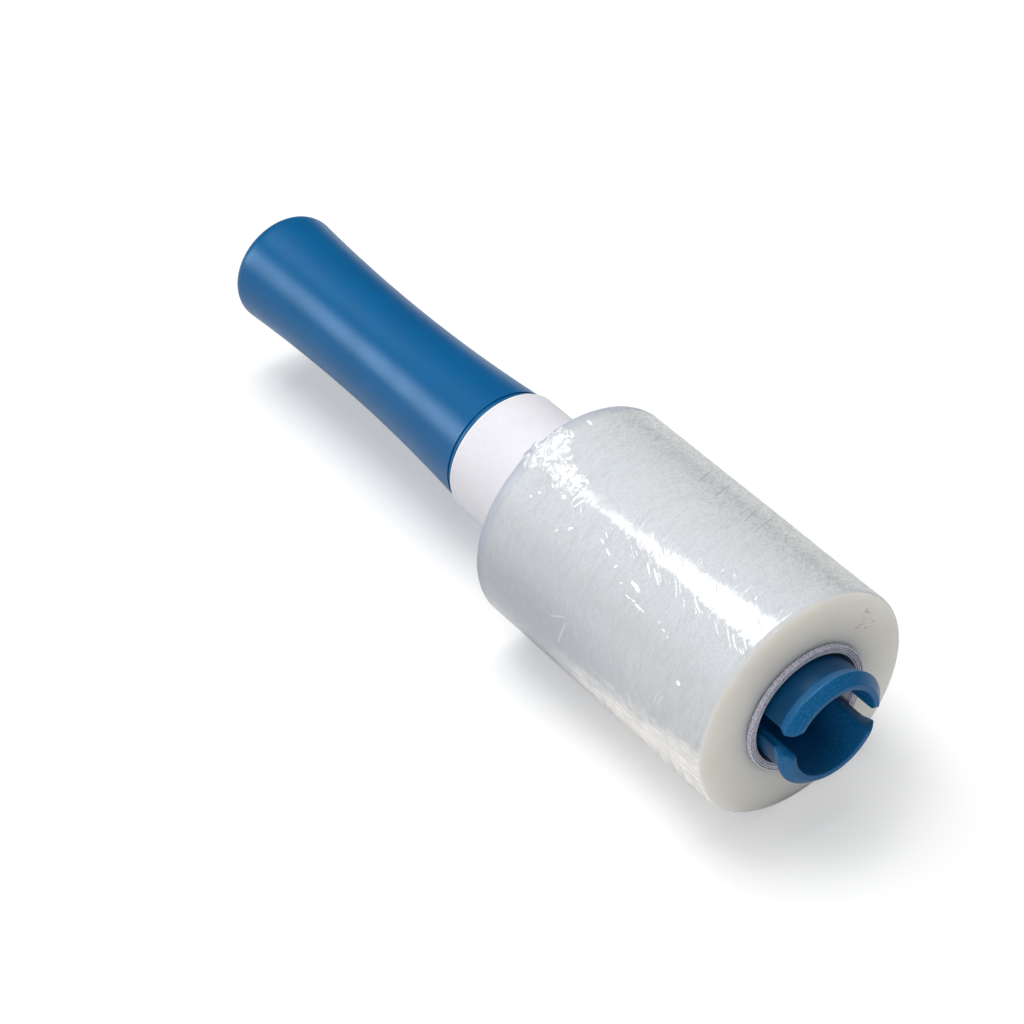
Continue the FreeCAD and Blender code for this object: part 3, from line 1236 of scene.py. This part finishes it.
@dataclass(frozen=True)
class Core:
    """The wound board tube, with its plies showing at both cut ends."""

    places: Places
    bore_radius: float = 17.9 * MM
    wall: float = 2.6 * MM
    plies: int = 4
    groove_width: float = 0.12 * MM
    groove_depth: float = 0.28 * MM
    skin_round: float = 0.3 * MM
    columns: int = 128

    def cut_end(self, x: float, outwards: float) -> Profile:
        """Draw one cut end from the outside in, a little step at each ply.

        Args:
            x: Where the end lies.
            outwards: 1 where the end faces +X and -1 where it faces -X.

        Returns:
            The end's points.
        """
        steps = (0.0, 0.10 * MM, 0.02 * MM, 0.14 * MM)
        outer = self.bore_radius + self.wall
        ply = self.wall / self.plies
        points: Profile = []
        for index in range(self.plies):
            face = x - outwards * steps[index]
            top = outer - index * ply
            low = top - ply
            ends = [(face, top - self.groove_width / 2), (face, low + self.groove_width / 2)]
            floor = x - outwards * (self.groove_depth + steps[index])
            if index == 0:
                ends = corner((face - outwards * MM, top), (face, top), (face, low),
                              self.skin_round, 3) + ends[1:]
            if index == self.plies - 1:
                ends = ends[:-1] + corner((face, top), (face, low), (face - outwards * MM, low),
                                          self.skin_round, 3)
                points += ends
            else:
                points += ends + [(floor, low + self.groove_width / 2),
                                  (floor, low - self.groove_width / 2)]
        return points

    def build(self) -> bpy.types.Object:
        """Model the tube and dress it."""
        outer = self.bore_radius + self.wall
        front = self.cut_end(self.places.core_front, 1.0)
        back = self.cut_end(self.places.core_back, -1.0)
        along = [self.places.core_back + 4 * MM, self.places.film_back,
                 self.places.film_front - 1 * MM]
        profile = (
            list(reversed(back)) + [(x, outer) for x in along] + front
            + [(x, self.bore_radius) for x in reversed(along)]
        )
        profile.append(profile[0])
        piece = Bench.turn("core_tube", profile, self.columns)
        board = WoundBoard(
            self.places.axis_height, self.bore_radius, self.wall / self.plies,
            self.places.core_back, self.places.core_front,
        )
        self.mark_ends(piece)
        Bench.finish(
            piece, self.places.axis_height, 0.0, 35.0, [board.build(), board.build_cut()],
            Body.ROLL, Slot.BOARD, "core",
        )
        return piece

    def mark_ends(self, piece: bpy.types.Object) -> None:
        """Give the cut ends the second material.

        Args:
            piece: The tube.
        """
        inner = self.bore_radius + 0.05 * MM
        outer = self.bore_radius + self.wall - 0.05 * MM
        for face in piece.data.polygons:
            radius = math.hypot(face.center.y, face.center.z)
            face.material_index = int(inner < radius < outer)


class Lattice:
    """Smooth random heights over the film's side, with cells of a set size."""

    def __init__(self, seed: int, length: float, cell: float, around: int) -> None:
        """Draw the random heights.

        Args:
            seed: Seed of the draw.
            length: Length along X that the cells cover, from its start.
            cell: Size of a cell along X.
            around: Number of cells in one turn.
        """
        self.cell = cell
        self.around = around
        rows = int(math.ceil(length / cell)) + 5
        self.heights = np.random.default_rng(seed).uniform(-1.0, 1.0, (rows, around))

    def at(self, along: np.ndarray, turn: np.ndarray) -> np.ndarray:
        """Read the height at places on the side.

        Args:
            along: Distance along X from the start.
            turn: Angle about the axis, in degrees.

        Returns:
            The heights, about -1 to 1.
        """
        u = along / self.cell + 1.0
        v = turn / 360.0 * self.around
        i, j = np.floor(u).astype(int), np.floor(v).astype(int)
        s, t = u - i, v - j
        total = np.zeros_like(u)
        for di, wi in zip(range(-1, 3), self.weights(s)):
            row = np.clip(i + di, 0, self.heights.shape[0] - 1)
            for dj, wj in zip(range(-1, 3), self.weights(t)):
                total += wi * wj * self.heights[row, (j + dj) % self.around]
        return total

    @staticmethod
    def weights(part: np.ndarray) -> tuple[np.ndarray, ...]:
        """Give the four cubic B-spline weights at a part of a cell.

        Args:
            part: Part of the cell, 0 to 1.

        Returns:
            The weights of the cell before, both ends and the cell after.
        """
        return (
            (1 - part) ** 3 / 6,
            (3 * part ** 3 - 6 * part ** 2 + 4) / 6,
            (-3 * part ** 3 + 3 * part ** 2 + 3 * part + 1) / 6,
            part ** 3 / 6,
        )


@dataclass(frozen=True)
class FilmRoll:
    """The wound film: drawn-in back edge, crowned front face, wrinkles and a flat spot."""

    places: Places
    radius: float = 36.3 * MM
    core_radius: float = 20.5 * MM
    front_round: float = 1.1 * MM
    back_round: float = 2.2 * MM
    crown: float = 1.3 * MM
    columns: int = 384
    rows: int = 190

    @property
    def reach(self) -> float:
        """Length along X that the random heights cover."""
        return self.places.film_front - self.places.film_back + 2 * MM

    def profile(self) -> Profile:
        """Draw the closed outline, close points along the side."""
        back, front = self.places.film_back, self.places.film_front
        crest = (front + self.crown, self.core_radius)
        back_arc = corner((back, self.core_radius), (back, self.radius), (front, self.radius),
                          self.back_round, 6)
        front_arc = corner((back, self.radius), (front, self.radius), crest, self.front_round, 5)
        first, last = back_arc[-1], front_arc[0]
        side = [(first[0] + (last[0] - first[0]) * k / self.rows, self.radius)
                for k in range(1, self.rows)]
        back_face = [(back, self.core_radius + (back_arc[0][1] - self.core_radius) * k / 10)
                     for k in range(10)]
        front_face = [
            (front_arc[-1][0] + (crest[0] - front_arc[-1][0]) * k / 12,
             front_arc[-1][1] + (crest[1] - front_arc[-1][1]) * k / 12)
            for k in range(1, 13)
        ]
        return back_face + back_arc + side + front_arc + front_face + [back_face[0]]

    def wrinkle(self, piece: bpy.types.Object) -> None:
        """Move the vertices of the side in and out.

        Args:
            piece: The film, modelled about the X axis.
        """
        places = Bench.points(piece)
        x = places[:, 0]
        radius = np.hypot(places[:, 1], places[:, 2])
        turn = np.degrees(np.arctan2(places[:, 2], places[:, 1]))
        along = np.clip(x - self.places.film_back, 0.0, None)
        outer = np.clip((radius - self.radius + 3 * MM) / (3 * MM), 0.0, 1.0)
        lift = self.uneven(along, turn) + self.ruffles(along, turn) + self.crumple(along, turn)
        bottom = np.clip((np.abs(turn + 90.0) - 14.0) / 12.0, 0.0, 1.0)
        lift *= outer * bottom
        out = (radius + lift) / np.maximum(radius, MM)
        places[:, 1] *= out
        places[:, 2] *= out
        places[:, 0] -= self.overhang(along, turn) * outer
        places[:, 2] = np.maximum(places[:, 2], -self.places.axis_height)
        Bench.put(piece, places)

    def uneven(self, along: np.ndarray, turn: np.ndarray) -> np.ndarray:
        """Give the slow unevenness and the drawn streaks of the turns.

        Args:
            along: Distance along X from the film's back.
            turn: Angle about the axis.

        Returns:
            How far each place stands out.
        """
        slow = Lattice(11, self.reach, 16 * MM, 12).at(along, turn)
        bands = Lattice(12, self.reach, 3.2 * MM, 16).at(along, turn)
        streaks = Lattice(13, self.reach, 1.4 * MM, 40).at(along, turn)
        return 0.10 * MM * slow + 0.02 * MM * bands + 0.006 * MM * streaks

    def ruffles(self, along: np.ndarray, turn: np.ndarray) -> np.ndarray:
        """Give the loose folds low on the -Y side, which grow towards the front.

        Args:
            along: Distance along X from the film's back.
            turn: Angle about the axis.

        Returns:
            How far each place stands out.
        """
        whole = np.mod(turn, 360.0)
        share = np.clip((along - 30 * MM) / (70 * MM), 0.0, 1.0)
        upper = 186.0 - 22.0 * share
        inside = np.clip((whole - upper) / 8.0, 0.0, 1.0) * np.clip((222.0 - whole) / 10.0, 0, 1)
        wander = Lattice(21, self.reach, 9 * MM, 30).at(along, turn)
        slanted = along + whole * 0.10 * MM + wander * 2.5 * MM
        folds = Lattice(22, self.reach * 1.6, 2.4 * MM, 44).at(slanted, turn)
        return 0.45 * MM * inside * share * (1.0 - 2.2 * np.abs(folds))

    def crumple(self, along: np.ndarray, turn: np.ndarray) -> np.ndarray:
        """Give the crumpled patch beside the collar.

        Args:
            along: Distance along X from the film's back.
            turn: Angle about the axis.

        Returns:
            How far each place stands out.
        """
        away = np.hypot((along - 7 * MM) / (9 * MM), (turn - 112.0) / 15.0)
        inside = np.clip(1.25 - away, 0.0, 1.0) ** 1.5
        coarse = Lattice(31, self.reach, 2.6 * MM, 70).at(along, turn)
        fine = Lattice(32, self.reach, 1.3 * MM, 130).at(along, turn)
        return MM * inside * (0.30 * (0.5 - 1.6 * np.abs(coarse)) + 0.22 * fine)

    def overhang(self, along: np.ndarray, turn: np.ndarray) -> np.ndarray:
        """Give how far the loose turns hang over the back edge at the crumpled patch.

        Args:
            along: Distance along X from the film's back.
            turn: Angle about the axis.

        Returns:
            How far each place moves back.
        """
        near = np.clip(1.0 - along / (3 * MM), 0.0, 1.0)
        beside = np.clip(1.5 - np.abs(turn - 113.0) / 11.0, 0.0, 1.0)
        ragged = Lattice(41, 60 * MM, 20 * MM, 140).at(along * 0.0, turn)
        hem = Lattice(42, 60 * MM, 20 * MM, 44).at(along * 0.0, turn)
        return MM * near * (beside * np.clip(0.6 + 3.4 * ragged, 0.0, 2.6) + 0.25 * hem)

    def build(self) -> bpy.types.Object:
        """Model the film and dress it."""
        piece = Bench.turn("film_wound", self.profile(), self.columns)
        self.wrinkle(piece)
        for face in piece.data.polygons:
            radius = math.hypot(face.center.y, face.center.z)
            face.material_index = int(abs(face.normal.x) > 0.75 and radius < self.radius - 0.4 * MM)
        Bench.finish(
            piece, self.places.axis_height, 0.0, 60.0,
            [FilmSkin(self.places.axis_height, self.radius).build(),
             FilmEdge(self.places.axis_height).build()],
            Body.ROLL, Slot.FILM, "film_roll",
        )
        return piece


WATTS_PER_AREA = 4.0  # An area lamp's power for each unit of radiance and square metre.


@dataclass(frozen=True)
class Softbox:
    """A flat soft lamp."""

    name: str
    place: tuple[float, float, float]
    aim: tuple[float, float, float]
    size: tuple[float, float]
    radiance: float
    colour: Colour
    turn: float = 0.0
    lights_matt: bool = True
    lights_gloss: bool = True

    def build(self) -> None:
        """Hang the lamp."""
        lamp = bpy.data.lights.new(self.name, "AREA")
        lamp.shape = "RECTANGLE"
        lamp.size, lamp.size_y = self.size
        lamp.energy = WATTS_PER_AREA * self.radiance * self.size[0] * self.size[1]
        lamp.color = self.colour
        holder = bpy.data.objects.new(self.name, lamp)
        bpy.context.scene.collection.objects.link(holder)
        away = np.array(self.aim) - np.array(self.place)
        flat = math.hypot(away[0], away[1])
        tilt = math.atan2(flat, -away[2])
        heading = math.atan2(away[1], away[0]) - math.pi / 2
        holder.rotation_euler = (tilt, 0.0, heading + self.turn)
        holder.location = self.place
        holder.visible_diffuse = self.lights_matt
        holder.visible_glossy = self.lights_gloss


@dataclass(frozen=True)
class Studio:
    """White floor, soft lamps, pale surroundings and the camera at the photograph's angle."""

    lens: float = 111.06
    eye: tuple[float, float, float] = (0.55755, -0.4335, 0.6404)
    tilt: float = 48.83
    heading: float = 52.68
    floor_glow: float = 0.31

    def camera(self) -> None:
        """Set up the camera."""
        view = bpy.data.cameras.new("photo_camera")
        view.lens = self.lens
        view.sensor_width = 36.0
        view.clip_start = 0.01
        view.clip_end = 50.0
        holder = bpy.data.objects.new("photo_camera", view)
        bpy.context.scene.collection.objects.link(holder)
        holder.location = self.eye
        holder.rotation_euler = (math.radians(self.tilt), 0.0, math.radians(self.heading))
        bpy.context.scene.camera = holder

    def surroundings(self) -> None:
        """Make the pale surroundings: white to the camera, and dim in reflections."""
        world = bpy.data.worlds.new("studio_surroundings")
        bpy.context.scene.world = world
        nodes = Nodes(world)
        rays = nodes.node("ShaderNodeLightPath", {}, {}).outputs
        ambient = {0: (0.96, 0.98, 1.0), 1: 0.36}
        shown = nodes.node("ShaderNodeBackground", {}, ambient).outputs[0]
        for colour, strength, ray in (
            ((1.0, 0.97, 0.93), 0.05, "Is Glossy Ray"),
            ((1.0, 1.0, 1.0), 1.0, "Is Camera Ray"),
        ):
            glow = nodes.node("ShaderNodeBackground", {}, {0: colour, 1: strength}).outputs[0]
            mixed = nodes.node("ShaderNodeMixShader", {}, {0: rays[ray], 1: shown, 2: glow})
            shown = mixed.outputs[0]
        nodes.node("ShaderNodeOutputWorld", {}, {0: shown})

    def floor(self) -> None:
        """Lay the white floor, which keeps the shadow and glows a little to the camera."""
        Bench.tidy()
        bpy.ops.mesh.primitive_plane_add(size=12.0, location=(0.0, 0.0, 0.0))
        ground = bpy.context.object
        ground.name = "studio_floor"
        graph = Graph("studio_floor_white")
        rays = graph.node("ShaderNodeLightPath", {}, {}).outputs
        matt = graph.node("ShaderNodeBsdfDiffuse", {}, {0: (0.8, 0.8, 0.8)}).outputs[0]
        strength = Value(graph, rays["Is Camera Ray"]) * self.floor_glow
        glow = graph.node("ShaderNodeEmission", {}, {1: strength}).outputs[0]
        both = graph.node("ShaderNodeAddShader", {}, {0: matt, 1: glow}).outputs[0]
        graph.node("ShaderNodeOutputMaterial", {}, {0: both})
        ground.data.materials.append(graph.material)

    def lamps(self) -> None:
        """Hang the lamps."""
        for lamp in (
            Softbox("overhead", (-0.10, 0.0, 1.36), (0.0, 0.0, 0.0), (0.8, 0.7), 2.2,
                    (1.0, 0.99, 0.97), lights_gloss=False),
            Softbox("window_light", (-0.36, -0.14, 0.99), (0.0, 0.0, 0.0), (0.64, 0.56), 3.35,
                    (1.0, 1.0, 1.0), lights_gloss=False),
            Softbox("back_window", (-0.348, -0.117, 0.99), (-0.348, -0.117, 0.0), (0.7, 0.35),
                    8.5, (1.0, 1.0, 1.0), turn=math.radians(151.7), lights_matt=False),
            Softbox("low_left", (-1.02, -0.86, 0.46), (-0.1, 0.0, 0.036), (0.32, 0.62), 8.4,
                    (0.95, 0.97, 1.0), lights_matt=False),
            Softbox("front_left", (0.42, -0.95, 0.42), (0.12, 0.0, 0.036), (0.5, 0.4), 2.8,
                    (1.0, 0.99, 0.97), lights_gloss=False),
        ):
            lamp.build()

    def build(self) -> None:
        """Set everything up."""
        self.camera()
        self.surroundings()
        self.floor()
        self.lamps()
        bpy.context.scene.view_settings.view_transform = "Standard"
        log.info("studio: camera, surroundings, floor and lamps")


def main() -> None:
    """Build the studio and the three pieces in order."""
    logging.basicConfig(level=logging.INFO, format="%(message)s")
    Studio().build()
    places = Places()
    for maker in (Handle(places), Core(places), FilmRoll(places)):
        log.info("%s stands in its place", maker.build().name)
    Bench.tidy()


if __name__ == "__main__":
    main()
